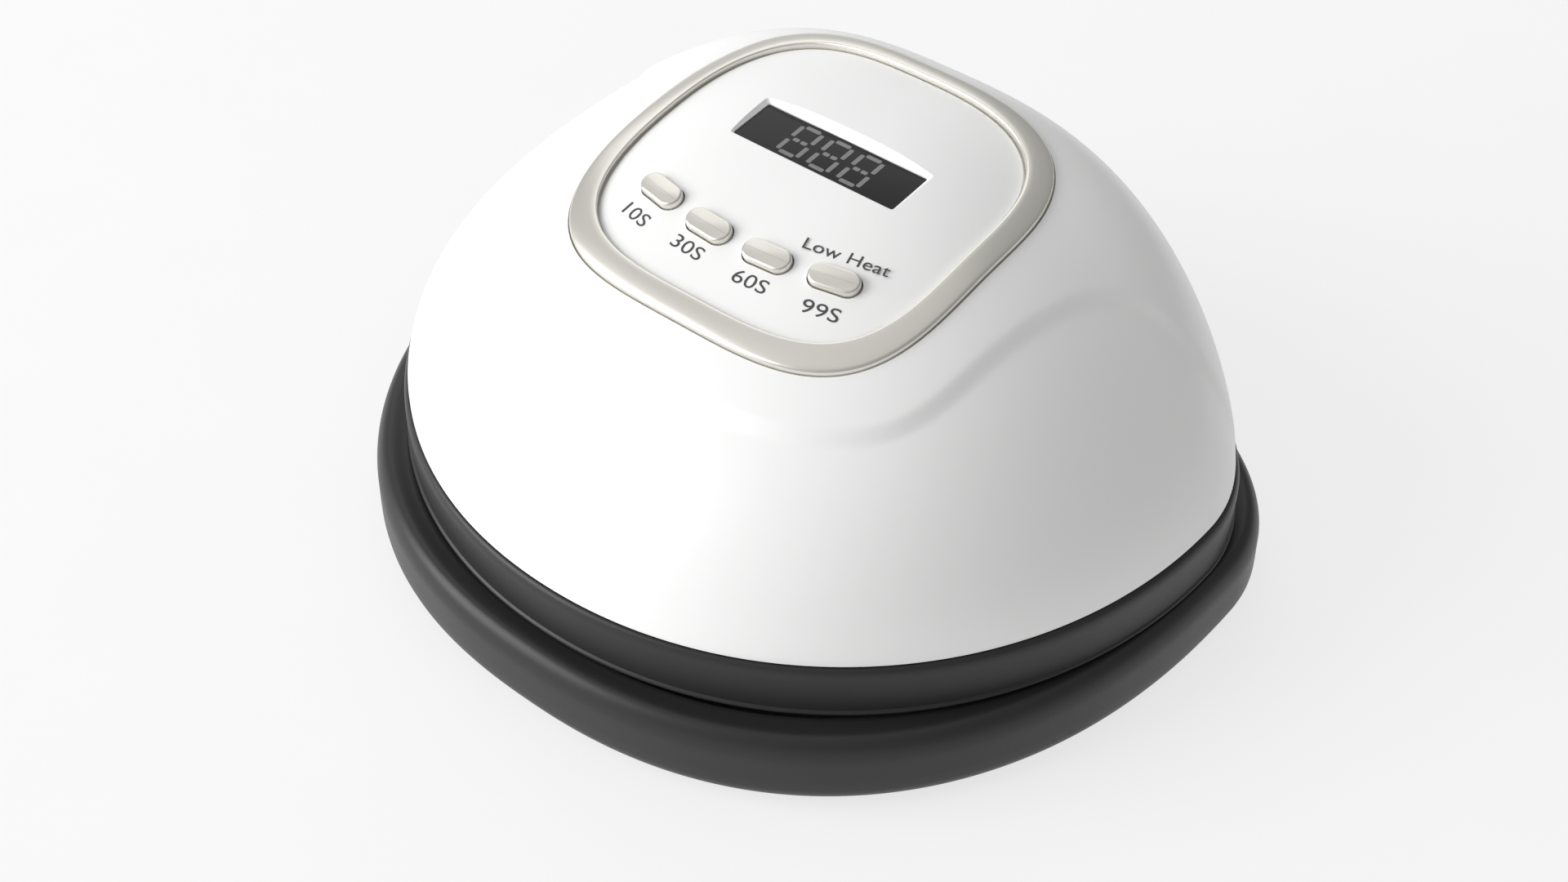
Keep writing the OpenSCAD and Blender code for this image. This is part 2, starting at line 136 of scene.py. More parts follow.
def panel_pt(a, grow):
    r = oval_r(a, PANEL_HALF_W + grow, PANEL_HALF_D + grow, N_PANEL)
    return r * math.cos(a), PANEL_Y + r * math.sin(a)


ANGLES = [2 * math.pi * (k + 0.5) / COLUMNS for k in range(COLUMNS)]
print("crown height", round(dome_z(0, 46), 1), "mm, height at the display", round(dome_z(0, 18.7), 1), "mm")

# %% [markdown]
# ## The style line
#
# The cap round the ring stands a little proud of the front of the shell. The step between them is
# soft, about three millimetres wide. It runs low across the front, climbs beside the ring, and then
# flares out to the sides. A designer draws such a line as a curve seen from above, and a moulder
# sees it as a shallow step in the cavity. Here it is a height added to the dome.

# %% Style line
STYLE_DRAWN = [(0, -53.5), (26, -51), (45, -45), (58, -35), (64, -22), (66, -3), (68.5, 16), (72, 30),
               (79, 41), (91, 47), (104, 53), (122, 62)]
STEP, STEP_WIDTH = 1.5, 3.0


def rounded(points, passes):
    """Cuts every corner of a line at its quarters, which rounds it."""
    for _ in range(passes):
        cut = [points[0]]
        for p, q in zip(points[:-1], points[1:]):
            cut += [(blend(p[0], q[0], t), blend(p[1], q[1], t)) for t in (0.25, 0.75)]
        points = cut + [points[-1]]
    return points


STYLE = rounded([(-1, -53.5)] + STYLE_DRAWN, 2)


def style_side(x, y):
    """Distance from the style line in mm, positive on the raised side."""
    x, best, sign = abs(x), 1e9, 1.0
    for (ax, ay), (bx, by) in zip(STYLE[:-1], STYLE[1:]):
        dx, dy = bx - ax, by - ay
        t = max(0.0, min(1.0, ((x - ax) * dx + (y - ay) * dy) / (dx * dx + dy * dy)))
        d = math.hypot(x - ax - dx * t, y - ay - dy * t)
        if d < best:
            best, sign = d, 1.0 if dx * (y - ay) - dy * (x - ax) > 0 else -1.0
    return best * sign


def step(x, y):
    t = max(0.0, min(1.0, style_side(x, y) / STEP_WIDTH + 0.5))
    return STEP * blend(t, smooth(t), 0.4) - STEP / 2


def top_z(x, y):
    return dome_z(x, y) + STEP / 2


print("style line points:", len(STYLE))

# %% [markdown]
# ## Helpers
#
# One helper joins rings of points into a skin, as a lofting tool does. One selects a single object,
# because Blender's tools work on what is selected. Others cut one shape out of another, copy a
# shape, bevel chosen edges and put a shape in its place. The last one gives a finished piece its
# body and its finish, and hides the solids that it stands for.

# %% Helpers


def only(obj):
    bpy.ops.object.select_all(action="DESELECT")
    obj.select_set(True)
    bpy.context.view_layer.objects.active = obj


def smooth_by_angle(obj, degrees):
    only(obj)
    bpy.ops.object.shade_smooth_by_angle(angle=math.radians(degrees))


def loft(name, rows, poles=None, degrees=35):
    """Rings of points in mm become one closed skin. Without poles the last ring joins the first."""
    n, m = len(rows[0]), len(rows)
    points = [tuple(v * MM for v in p) for row in rows for p in row]
    faces = [
        (j * n + k, (j + 1) % m * n + k, (j + 1) % m * n + (k + 1) % n, j * n + (k + 1) % n)
        for j in range(m if poles is None else m - 1)
        for k in range(n)
    ]
    if poles is not None:
        points += [tuple(v * MM for v in p) for p in poles]
        faces += [(m * n, k, (k + 1) % n) for k in range(n)]
        faces += [(m * n + 1, (m - 1) * n + (k + 1) % n, (m - 1) * n + k) for k in range(n)]
    mesh = bpy.data.meshes.new(name)
    mesh.from_pydata(points, [], faces)
    obj = bpy.data.objects.new(name, mesh)
    bpy.context.collection.objects.link(obj)
    only(obj)
    bpy.ops.object.mode_set(mode="EDIT")
    bpy.ops.mesh.select_all(action="SELECT")
    bpy.ops.mesh.normals_make_consistent(inside=False)
    bpy.ops.object.mode_set(mode="OBJECT")
    smooth_by_angle(obj, degrees)
    return obj


def cut_away(obj, cutter):
    """Takes the cutter's shape out of the object, as a milling tool or a core pin does."""
    only(obj)
    mod = obj.modifiers.new("cut", "BOOLEAN")
    mod.operation, mod.solver, mod.object = "DIFFERENCE", "EXACT", cutter
    bpy.ops.object.modifier_apply(modifier="cut")
    bpy.data.objects.remove(cutter)


def copy_of(obj):
    """A copy of a piece, with a mesh of its own."""
    twin = obj.copy()
    twin.data = obj.data.copy()
    bpy.context.collection.objects.link(twin)
    return twin


def faces_looking_up(obj):
    """Selects only the faces that look up, and leaves the object in edit mode."""
    only(obj)
    bpy.ops.object.mode_set(mode="EDIT")
    bpy.ops.mesh.select_mode(type="FACE")
    bpy.ops.mesh.select_all(action="DESELECT")
    bpy.ops.object.mode_set(mode="OBJECT")
    for face in obj.data.polygons:
        face.select = face.normal.z > 0.9
    bpy.ops.object.mode_set(mode="EDIT")


def join(name, objs):
    bpy.ops.object.select_all(action="DESELECT")
    for obj in objs:
        obj.select_set(True)
    bpy.context.view_layer.objects.active = objs[0]
    if len(objs) > 1:
        bpy.ops.object.join()
    objs[0].name = name
    return objs[0]


def rounded_bar(length, width, height, radius, edge):
    """A bar with rounded ends and softened edges, modelled from a cube with bevels. Base at z = 0."""
    bpy.ops.object.select_all(action="DESELECT")
    bpy.ops.mesh.primitive_cube_add(size=1, location=(0, 0, height * MM / 2))
    obj = bpy.context.object
    obj.scale = (length * MM, width * MM, height * MM)
    bpy.ops.object.transform_apply(location=True, rotation=True, scale=True)
    bevel_edges(obj, radius, 10, lambda a, b: abs(a.z - b.z) > height * MM / 2)
    if edge:
        top = height * MM - 1e-6
        bevel_edges(obj, edge, 4, lambda a, b: a.z > top and b.z > top)
    return obj


def bevel_edges(obj, offset, segments, wanted):
    only(obj)
    bpy.ops.object.mode_set(mode="EDIT")
    bpy.ops.mesh.select_mode(type="EDGE")
    bpy.ops.mesh.select_all(action="DESELECT")
    bpy.ops.object.mode_set(mode="OBJECT")
    points = obj.data.vertices
    for edge in obj.data.edges:
        edge.select = wanted(points[edge.vertices[0]].co, points[edge.vertices[1]].co)
    bpy.ops.object.mode_set(mode="EDIT")
    bpy.ops.mesh.bevel(offset=offset * MM, segments=segments, affect="EDGES")
    bpy.ops.object.mode_set(mode="OBJECT")


def place(obj, matrix):
    obj.matrix_world = matrix
    only(obj)
    bpy.ops.object.transform_apply(location=True, rotation=True, scale=True)


def piece(obj, body, material, slot, *nodes):
    obj.data.materials.clear()
    obj.data.materials.append(material)
    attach(obj, body)
    if nodes:
        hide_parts(*nodes)
    print(obj.name, "rides on", body, "with", len(obj.data.polygons), "faces")


# %% [markdown]
# ## Materials
#
# Each finish is one small node tree on the Principled shader, in object coordinates, so a grain
# keeps its real size in millimetres. Two scales of noise do most of the work: a fine one for the
# tool's texture, and a broad one for the slow change of polish that every moulded face has. The
# fine grain of a real mould is about a tenth of a millimetre. It is drawn several times as coarse
# here, because it would be too fine to show.

# %% Node helpers


def hex_colour(code):
    """An sRGB hex colour turned into the linear values that a shader takes."""
    parts = [int(code[k:k + 2], 16) / 255 for k in (1, 3, 5)]
    return tuple(v / 12.92 if v <= 0.04045 else ((v + 0.055) / 1.055) ** 2.4 for v in parts) + (1.0,)


def add_node(tree, kind, values=(), **settings):
    node = tree.nodes.new(kind)
    for key, value in settings.items():
        setattr(node, key, value)
    for key, value in dict(values).items():
        if isinstance(value, bpy.types.NodeSocket):
            tree.links.new(value, node.inputs[key])
        else:
            node.inputs[key].default_value = value
    return node


DRIFT_MM = 45.0


def finish_of(name, colour, shade, rough, grain_mm, depth_mm, streak=(1, 1, 1), **sockets):
    """A surface with that grain, whose colour drifts to shade and whose roughness spans rough."""
    mat = bpy.data.materials.new(name)
    mat.use_nodes = True
    tree = mat.node_tree
    shader = tree.nodes["Principled BSDF"]
    place_in = add_node(tree, "ShaderNodeTexCoord").outputs["Object"]
    scaled = add_node(tree, "ShaderNodeMapping", {"Vector": place_in, "Scale": streak}).outputs["Vector"]
    grain = add_node(tree, "ShaderNodeTexNoise",
                     {"Vector": scaled, "Scale": 1 / (grain_mm * MM), "Detail": 3.0})
    drift = add_node(tree, "ShaderNodeTexNoise",
                     {"Vector": place_in, "Scale": 1 / (DRIFT_MM * MM), "Detail": 2.0})
    grain, drift = grain.outputs["Fac"], drift.outputs["Fac"]
    tint = add_node(tree, "ShaderNodeMix", {"Factor": drift, 6: hex_colour(colour), 7: hex_colour(shade)},
                    data_type="RGBA")
    wear = add_node(tree, "ShaderNodeMath", {0: grain, 1: drift}, operation="MULTIPLY")
    polish = add_node(tree, "ShaderNodeMapRange", {"Value": wear.outputs[0], "From Min": 0.1,
                                                   "From Max": 0.45, "To Min": rough[0], "To Max": rough[1]})
    bump = add_node(tree, "ShaderNodeBump", {"Height": grain, "Distance": depth_mm * MM, "Strength": 1.0})
    tree.links.new(tint.outputs[2], shader.inputs["Base Color"])
    tree.links.new(polish.outputs["Result"], shader.inputs["Roughness"])
    tree.links.new(bump.outputs["Normal"], shader.inputs["Normal"])
    for key, value in sockets.items():
        shader.inputs[key.replace("_", " ")].default_value = value
    return mat


# %% [markdown]
# White glossy ABS comes from a polished cavity, so its grain is almost nothing and its polish is
# even: the eye reads it by its wide soft highlights. The dark parts come from a spark-eroded
# cavity, whose fine matt grain spreads the highlight on the shoulders. The ring and the buttons are
# plastic with a vacuum-metallised coat, a warm satin silver. The parts inside show when the head is
# lifted: green laminate, clear lenses, nickel on the magnets, zinc on the screws, brass in the inlet.

# %% The materials
polished_white_abs = finish_of("polished_white_abs", "#f7f7f7", "#f4f4f3", (0.34, 0.42), 0.8, 0.0004,
                               Coat_Weight=0.12, Coat_Roughness=0.2, IOR=1.5)
satin_white_abs = finish_of("satin_white_abs", "#f6f6f6", "#f3f3f2", (0.34, 0.44), 0.5, 0.001, IOR=1.5)
eroded_black_abs = finish_of("eroded_black_abs", "#2d2d2e", "#2a2a2b", (0.36, 0.48), 0.45, 0.006,
                             Specular_IOR_Level=0.36)
metallised_champagne = finish_of("metallised_champagne", "#e8e6de", "#e3e1d8", (0.3, 0.32), 0.7, 0.0,
                                 (1, 0.15, 1), Metallic=0.9)
smoked_acrylic = finish_of("smoked_acrylic", "#060607", "#08080a", (0.1, 0.16), 1.5, 0.0,
                           Specular_IOR_Level=0.25, IOR=1.49)
unlit_segment = finish_of("unlit_segment_resin", "#7d7d7e", "#727273", (0.3, 0.42), 0.2, 0.002)
pad_printed_ink = finish_of("pad_printed_ink", "#3e3e3f", "#49494a", (0.5, 0.62), 0.15, 0.002)
bright_reflector = finish_of("bright_reflector_plastic", "#e4e6e9", "#dcdee2", (0.14, 0.24), 1.0, 0.002,
                             Metallic=0.35, Coat_Weight=0.5)
by_slot = {
    "tray_plastic": eroded_black_abs,
    "band_plastic": eroded_black_abs,
    "shell_plastic": satin_white_abs,
    "panel_plastic": satin_white_abs,
    "trim_metal": metallised_champagne,
    "button_metal": metallised_champagne,
    "window_acrylic": smoked_acrylic,
    "reflector_plastic": bright_reflector,
    "module_plastic": finish_of("moulded_dark_housing", "#262627", "#1f1f20", (0.45, 0.6), 0.4, 0.006),
    "board_laminate": finish_of("solder_masked_laminate", "#17552c", "#114724", (0.25, 0.45), 0.6, 0.01,
                                Coat_Weight=0.3),
    "chip_plastic": finish_of("moulded_epoxy", "#1c1c1d", "#232324", (0.5, 0.65), 0.3, 0.01),
    "mirror_sheet": finish_of("mirror_finished_sheet", "#e6e7e8", "#dfe0e1", (0.05, 0.12), 3.0, 0.003,
                              Metallic=1.0),
    "magnet_nickel": finish_of("nickel_plate", "#c9c8c4", "#bdbcb7", (0.18, 0.3), 0.5, 0.002, Metallic=1.0),
    "foot_rubber": finish_of("moulded_rubber", "#1d1d1d", "#272727", (0.75, 0.9), 0.6, 0.02),
    "screw_steel": finish_of("zinc_plated_steel", "#b4b4b2", "#9d9d9a", (0.25, 0.4), 0.4, 0.004,
                             Metallic=1.0),
    "led_board_white": finish_of("white_solder_mask", "#f3f3f1", "#e9e9e6", (0.3, 0.45), 0.6, 0.006),
    "led_lens": finish_of("clear_lens_over_yellow_die", "#e9df9a", "#f2edc8", (0.05, 0.1), 1.0, 0.001,
                          Transmission_Weight=0.55, IOR=1.5),
    "sensor_lens": finish_of("dark_infrared_epoxy", "#1b1022", "#241530", (0.1, 0.2), 0.6, 0.002,
                             Coat_Weight=0.5),
    "socket_plastic": finish_of("moulded_nylon", "#1a1a1b", "#222223", (0.45, 0.6), 0.4, 0.008),
    "contact_brass": finish_of("plated_brass", "#cfa955", "#bb9443", (0.18, 0.3), 0.4, 0.002, Metallic=1.0),
    "cable_pvc": finish_of("ribbon_cable_pvc", "#b9b9ba", "#a9a9aa", (0.4, 0.5), 1.27, 0.05, (1, 0.02, 0.02)),
    "wire_pvc": finish_of("wire_insulation_pvc", "#a3201c", "#931a17", (0.35, 0.45), 0.6, 0.005),
}
slots = {row["node"]: row["material_slot"] for row in frame["record"]["subparts"]}
for name, node in frame["nodes"].items():
    node.data.materials.clear()
    node.data.materials.append(by_slot[slots[name]])
print("materials:", len(bpy.data.materials), "for", len(slots), "solids")

# %% [markdown]
# ## Camera, floor and light
#
# The lamp is seen from the front and its right, well above. Wide soft lights stand round it, as for
# a catalogue picture. The strongest one is at the left front, so the right side falls to pale grey.

# %% Camera, floor and lights
target = Vector((13.9, -15.7, 39.2)) * MM
azimuth, elevation, distance = math.radians(39.43), math.radians(43.5), 0.555
level = math.cos(elevation)
back = Vector((math.sin(azimuth) * level, -math.cos(azimuth) * level, math.sin(elevation)))
camera_data = bpy.data.cameras.new("camera")
camera_data.lens, camera_data.sensor_width = 50, 36
camera_data.clip_start = 0.01
camera = bpy.data.objects.new("camera", camera_data)
bpy.context.collection.objects.link(camera)
camera.location = target + back * distance
camera.rotation_euler = (-back).to_track_quat("-Z", "Y").to_euler()
bpy.context.scene.camera = camera

bpy.ops.mesh.primitive_plane_add(size=9, location=(0, 0, 0))
floor = bpy.context.object
floor.name = "floor"
floor.data.materials.append(finish_of("pale_studio_floor", "#7c7c7c", "#7a7a7a", (0.8, 0.9), 4.0, 0.0,
                                      Emission_Color=(1, 1, 1, 1), Emission_Strength=0.735))

world = bpy.data.worlds.new("studio")
bpy.context.scene.world = world
world.use_nodes = True
world.node_tree.nodes["Background"].inputs["Color"].default_value = (1, 1, 1, 1)
sky = world.node_tree
view = add_node(sky, "ShaderNodeTexCoord").outputs["Generated"]
facing = add_node(sky, "ShaderNodeVectorMath", {0: view, 1: (-0.8, -0.45, 0.4)}, operation="DOT_PRODUCT")
glow = add_node(sky, "ShaderNodeMapRange", {"Value": facing.outputs["Value"], "From Min": -0.6,
                                            "From Max": 0.6, "To Min": 0.29, "To Max": 0.46})
sky.links.new(glow.outputs["Result"], sky.nodes["Background"].inputs["Strength"])
bpy.context.scene.view_settings.view_transform = "Standard"


def soft_light(name, place_at, size, watts):
    data = bpy.data.lights.new(name, "AREA")
    data.shape, data.size, data.size_y, data.energy = "RECTANGLE", size[0], size[1], watts
    lamp = bpy.data.objects.new(name, data)
    bpy.context.collection.objects.link(lamp)
    lamp.location = place_at
    lamp.rotation_euler = (Vector(place_at) - Vector((0, 0, 0.05))).to_track_quat("Z", "Y").to_euler()


soft_light("key_left_front", (-1.35, -1.45, 1.0), (1.6, 1.6), 45)
soft_light("top", (0, 0, 2.05), (2, 2), 3.0)
soft_light("back_left_card", (-1.35, 1.15, 1.5), (1.8, 1.8), 8.5)
print("camera at", [round(v, 3) for v in camera.location])

# %% [markdown]
# ## The white shell
#
# The shell is one moulding from the seam at the band to the opening under the ring. Rows of points
# run up each side at the dome's height, closer together near the seam, where the side is upright.
# Round the opening the surface drops to a narrow seat, which holds the ring. The wall turns in at
# both edges and comes back down inside, so the shell is a closed body.

# %% Shell
SHELL_ROWS = 108
OPENING_GAP = 0.15  # between the panel's outline and the shell's opening round it


def shell_line(a, t, depth):
    low = wall_pt(a, edge_z(a), depth)
    high = panel_pt(a, SEAT_OUT if depth < WALL / 2 else OPENING_GAP)
    lifted = mouth_lift(a)
    along = blend(t ** 1.75, t ** 1.3, lifted)
    x, y = blend(low[0], high[0], along), blend(low[1], high[1], along)
    if t == 0:
        return low
    z = dome_z(x, y, depth)
    return (x, y, z + step(x, y) * smooth(t / 0.1) if depth < WALL / 2 else z)


outer = [[shell_line(a, t / SHELL_ROWS, 0) for a in ANGLES] for t in range(SHELL_ROWS + 1)]
inner = [[shell_line(a, t / 16, WALL) for a in ANGLES] for t in range(16, -1, -1)]
seat = [[(x, y, top_z(x, y) - 0.12) for x, y in (panel_pt(a, SEAT_OUT - 0.04) for a in ANGLES)]]
for grow in (SEAT_OUT - 0.05, OPENING_GAP):
    seat.append([(x, y, dome_z(x, y) - SEAT) for x, y in (panel_pt(a, grow) for a in ANGLES)])
shell = loft("white_shell", outer + seat + inner, degrees=40)
piece(shell, "head", polished_white_abs, "shell_plastic", "top_shell")

# %% [markdown]
# ## The dark band and the tray
#
# Both are rims swept from a profile. The band has a fine lip at its foot, an upright wall and a
# rounded shoulder under the shell. At the back it rises in an arch, which is the hand opening. The
# tray's shoulder falls to a shallow groove, and the band's foot stands over it.

# %% Band


def arc(x0, z0, x1, z1, count, bulge_first):
    """Points of a quarter oval from one (inset, height) to another, upright first or flat first."""
    out = []
    for k in range(1, count + 1):
        t = math.pi / 2 * k / count
        u, v = (1 - math.cos(t), math.sin(t)) if bulge_first else (math.sin(t), 1 - math.cos(t))
        out.append((blend(x0, x1, u), blend(z0, z1, v)))
    return out


def band_row(inset, lift, from_foot):
    return [wall_pt(a, foot_z(a) + lift if from_foot else edge_z(a) + lift, inset) for a in ANGLES]


LIP = 0.6
band_rows = [band_row(0.2 - BAND_OUT, 0, True)]
band_rows += [band_row(-BAND_OUT - LIP * math.sin(t), LIP - LIP * math.cos(t), True)
              for t in map(math.radians, (30, 60, 90, 120, 150))]
band_rows += [band_row(-BAND_OUT, lift, True) for lift in (1.4, 3)]
band_rows += [band_row(-BAND_OUT, -8, False), band_row(-BAND_OUT, -4.2, False)]
band_rows += [band_row(i, z, False) for i, z in arc(-BAND_OUT, -3.6, 0.1, -0.55, 8, True)]
band_rows += [band_row(i, z, False) for i, z in ((0.6, -0.5), (WALL, -0.5), (WALL + 0.2, -1.2))]
band_rows += [band_row(WALL + 0.4, FLANGE_T + 1, True), band_row(WALL + 0.7, FLANGE_T + 0.4, True)]
band_rows += [band_row(i, FLANGE_T, True) for i in (WALL + 1.5, 14, FLANGE_IN)]
band_rows += [band_row(i, 0, True) for i in (FLANGE_IN, 12, 1.2)]
band = loft("dark_housing_band", band_rows, degrees=38)
box_low, box_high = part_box("dc_inlet")
bpy.ops.object.select_all(action="DESELECT")
inlet_at = (box_low[0], (box_low[1] + box_high[1]) / 2, (box_low[2] + box_high[2]) / 2)
bpy.ops.mesh.primitive_cylinder_add(vertices=64, radius=(box_high[2] - box_low[2]) / 2 + 0.2 * MM, depth=0.03,
                                    location=inlet_at, rotation=(0, math.pi / 2, 0))
cut_away(band, bpy.context.object)
smooth_by_angle(band, 38)
piece(band, "head", eroded_black_abs, "band_plastic", "lower_housing", "housing_flange")

# %% Tray
RIM = 22.5
profile = [(7, 1.5), (5, 1.5)] + arc(5, 1.5, 0, 7, 8, False) + [(0.05, 10), (0.25, 15)]
profile += arc(0.25, 15.5, 4.4, RIM, 12, True)
profile += [(5.2, 22.4), (6.2, 22.2), (7.2, 22.0), (8.2, 21.9), (9.3, 21.9)]
profile += [(9.7, 21.7), (9.9, 21.2), (10.2, 6.5), (10.6, 5.3), (11.6, 4.7), (13, 4.5)]
tray = loft("dark_base_tray", [[tray_pt(a, z, i) for a in ANGLES] for i, z in profile],
            poles=((0, TRAY["y"], 1.5), (0, TRAY["y"], 4.5)), degrees=38)
low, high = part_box("tray_magnets")
MAGNET_R, BOSS_R, BOSS_H, BOSS_Z, POCKET = 5.0, 7.0, 18.3, 4.2, 2.0
bpy.ops.object.select_all(action="DESELECT")
bpy.ops.mesh.primitive_cylinder_add(vertices=64, radius=BOSS_R * MM, depth=BOSS_H * MM,
                                    location=(0, 0, (BOSS_Z + BOSS_H / 2) * MM))
boss = bpy.context.object
faces_looking_up(boss)
bpy.ops.mesh.inset(thickness=(BOSS_R - MAGNET_R) * MM)
bpy.ops.mesh.extrude_region_move(TRANSFORM_OT_translate={"value": (0, 0, -POCKET * MM)})
bpy.ops.object.mode_set(mode="OBJECT")
place(boss, boss.matrix_world.copy())
smooth_by_angle(boss, 38)
bosses = []
for x in (low[0] + MAGNET_R * MM, high[0] - MAGNET_R * MM):
    for y in (low[1] + MAGNET_R * MM, high[1] - MAGNET_R * MM):
        bosses.append(copy_of(boss))
        place(bosses[-1], Matrix.Translation((x, y, 0)))
bpy.data.objects.remove(boss)
tray_bosses = join("tray_magnet_bosses", bosses)
piece(tray, "tray", eroded_black_abs, "tray_plastic", "base_tray")
piece(tray_bosses, "tray", eroded_black_abs, "tray_plastic")

# %% [markdown]
# ## The metallised ring
#
# The ring is a thin frame with a nearly flat face and small rounded edges, which catch the light
# as two bright lines. It follows the dome, so each of its points is set on the dome's height.

# %% Trim ring
HALF = 3.1  # half the ring's width
ring_side = [(HALF, -1.6), (HALF, 0.5), (HALF - 0.08, 0.8), (HALF - 0.3, 1.02), (HALF - 0.7, 1.12),
             (1.4, 1.2)]
ring_profile = [(-out, up) for out, up in ring_side] + [(0, 1.22)] + ring_side[::-1]
RING_OUT = 0.3  # the ring's middle lies this far outside the panel's outline


def ring_row(grow, lift):
    row = []
    for a in ANGLES:
        x, y = panel_pt(a, grow + RING_OUT)
        row.append((x, y, top_z(x, y) + lift))
    return row


ring = loft("metallised_trim_ring", [ring_row(grow, lift) for grow, lift in ring_profile], degrees=50)
piece(ring, "head", metallised_champagne, "trim_metal", "trim_ring")

# %% [markdown]
# ## The control panel
#
# The panel is the piece of shell inside the ring, with a low seat for it round the edge. It is
# made solid first. Then cutters sink the display's recess and open the button holes, as core pins
# do in the mould.

# %% Panel
PANEL_T = 2.4
WINDOW_W, WINDOW_D, WINDOW_Y, WINDOW_TILT = 50.0, 14.2, 18.7, 4.0
window_z = dome_z(0, WINDOW_Y) - 2.2
BUTTON_L, BUTTON_W = 13.4, 6.5
BUTTONS = [("10S", -27, -12.9, -13), ("30S", -9.1, -16, -4), ("60S", 9.1, -16, 4), ("99S", 27, -12.9, 13)]


def tangent_frame(x, y, yaw, lift):
    """A matrix in metres at that place of the panel, with +Z along the surface normal, turned by yaw."""
    gx, gy = (dome_z(x + 1, y) - dome_z(x - 1, y)) / 2, (dome_z(x, y + 1) - dome_z(x, y - 1)) / 2
    up = Vector((-gx, -gy, 1)).normalized()
    turn = math.radians(yaw)
    across = up.x * math.cos(turn) + up.y * math.sin(turn)
    along = up.y * math.cos(turn) - up.x * math.sin(turn)
    rotation = Euler((-math.asin(along), math.atan2(across, up.z), turn), "XYZ").to_matrix().to_4x4()
    return Matrix.Translation(Vector((x, y, dome_z(x, y) + lift)) * MM) @ rotation


def panel_row(share, lift):
    row = []
    for k in range(0, COLUMNS, 2):
        x, y = panel_pt(ANGLES[k], -0.02)
        x, y = x * share, PANEL_Y + (y - PANEL_Y) * share
        row.append((x, y, dome_z(x, y) + lift))
    return row


shares = [SEAT_SHARE - 0.003 - (SEAT_SHARE - 0.038) * k / 36 for k in range(37)]
panel = loft("control_panel_skin", [panel_row(s, -PANEL_T) for s in (0.03, 0.35, 0.7, 1)]
             + [panel_row(1, -SEAT), panel_row(SEAT_SHARE, -SEAT), panel_row(SEAT_SHARE - 0.0002, -0.25)]
             + [panel_row(SEAT_SHARE - 0.001, -0.08)] + [panel_row(s, 0) for s in shares],
             poles=((0, PANEL_Y, dome_z(0, PANEL_Y) - PANEL_T), (0, PANEL_Y, dome_z(0, PANEL_Y))), degrees=35)

# %% [markdown]
# The recess cutter is straight at the pane and then spreads towards the surface, which leaves a
# bevelled frame. The holes are cut by one pill, copied to the four places.

# %% Recess and button holes
window_frame = Matrix.Translation(Vector((0, WINDOW_Y, window_z)) * MM)
window_frame @= Matrix.Rotation(math.radians(WINDOW_TILT), 4, "X")
bpy.ops.object.select_all(action="DESELECT")
bpy.ops.mesh.primitive_cube_add(size=1)
cutter = bpy.context.object
cutter.scale = ((WINDOW_W + 0.2) * MM, (WINDOW_D + 0.2) * MM, 14 * MM)
bpy.ops.object.transform_apply(location=False, rotation=False, scale=True)
for v in cutter.data.vertices:
    if v.co.z > 0:
        v.co.z = 0.25 * MM
bevel_edges(cutter, 0.7, 5, lambda a, b: abs(a.z - b.z) > 1 * MM)
faces_looking_up(cutter)
bpy.ops.mesh.extrude_region_move(TRANSFORM_OT_translate={"value": (0, 0, 3.5 * MM)})
bpy.ops.object.mode_set(mode="OBJECT")
SPREAD_SIDE, SPREAD_FRONT, SPREAD_BACK = 4.5, 3.6, 3.0
for v in cutter.data.vertices:
    if v.co.z > 2 * MM:
        v.co.x += math.copysign(SPREAD_SIDE * MM, v.co.x)
        v.co.y += (-SPREAD_FRONT if v.co.y < 0 else SPREAD_BACK) * MM
place(cutter, window_frame)
cut_away(panel, cutter)
HOLE_GAP, HOLE_DEPTH = 0.7, 12
pill = rounded_bar(BUTTON_L + HOLE_GAP, BUTTON_W + HOLE_GAP, HOLE_DEPTH, (BUTTON_W + HOLE_GAP) / 2 - 0.01, 0)
for label, x, y, yaw in BUTTONS:
    hole = copy_of(pill)
    place(hole, tangent_frame(x, y, yaw, 0) @ Matrix.Translation((0, 0, -HOLE_DEPTH / 2 * MM)))
    cut_away(panel, hole)
bpy.data.objects.remove(pill)
smooth_by_angle(panel, 28)
piece(panel, "head", satin_white_abs, "panel_plastic", "control_panel")

# %% [markdown]
# ## Display: smoked pane and three digits
#
# The pane is smoked acrylic with a polished bevel. The unlit digits of the seven-segment module
# behind it show through as grey bars, which are drawn as a thin film on the pane's face. There are
# three kinds: flat bars, upright bars and the short dashes in the middle. Each kind is modelled once
# and copied, and the copies are joined.

# %% Display
PANE_T = 0.5
pane = rounded_bar(WINDOW_W, WINDOW_D, PANE_T, 0.6, 0.12)
place(pane, window_frame @ Matrix.Translation((0, 0, -PANE_T * MM)))
pane.name = "smoked_display_pane"
smooth_by_angle(pane, 30)
piece(pane, "head", smoked_acrylic, "window_acrylic", "display_window")

DIGIT_W, DIGIT_H, DIGIT_PITCH, BAR = 7.4, 12.2, 9.5, 1.25


def segment(kind, x, y):
    bar = copy_of(kind)
    place(bar, window_frame @ Matrix.Translation(Vector((x, y, 0.01)) * MM))
    return bar


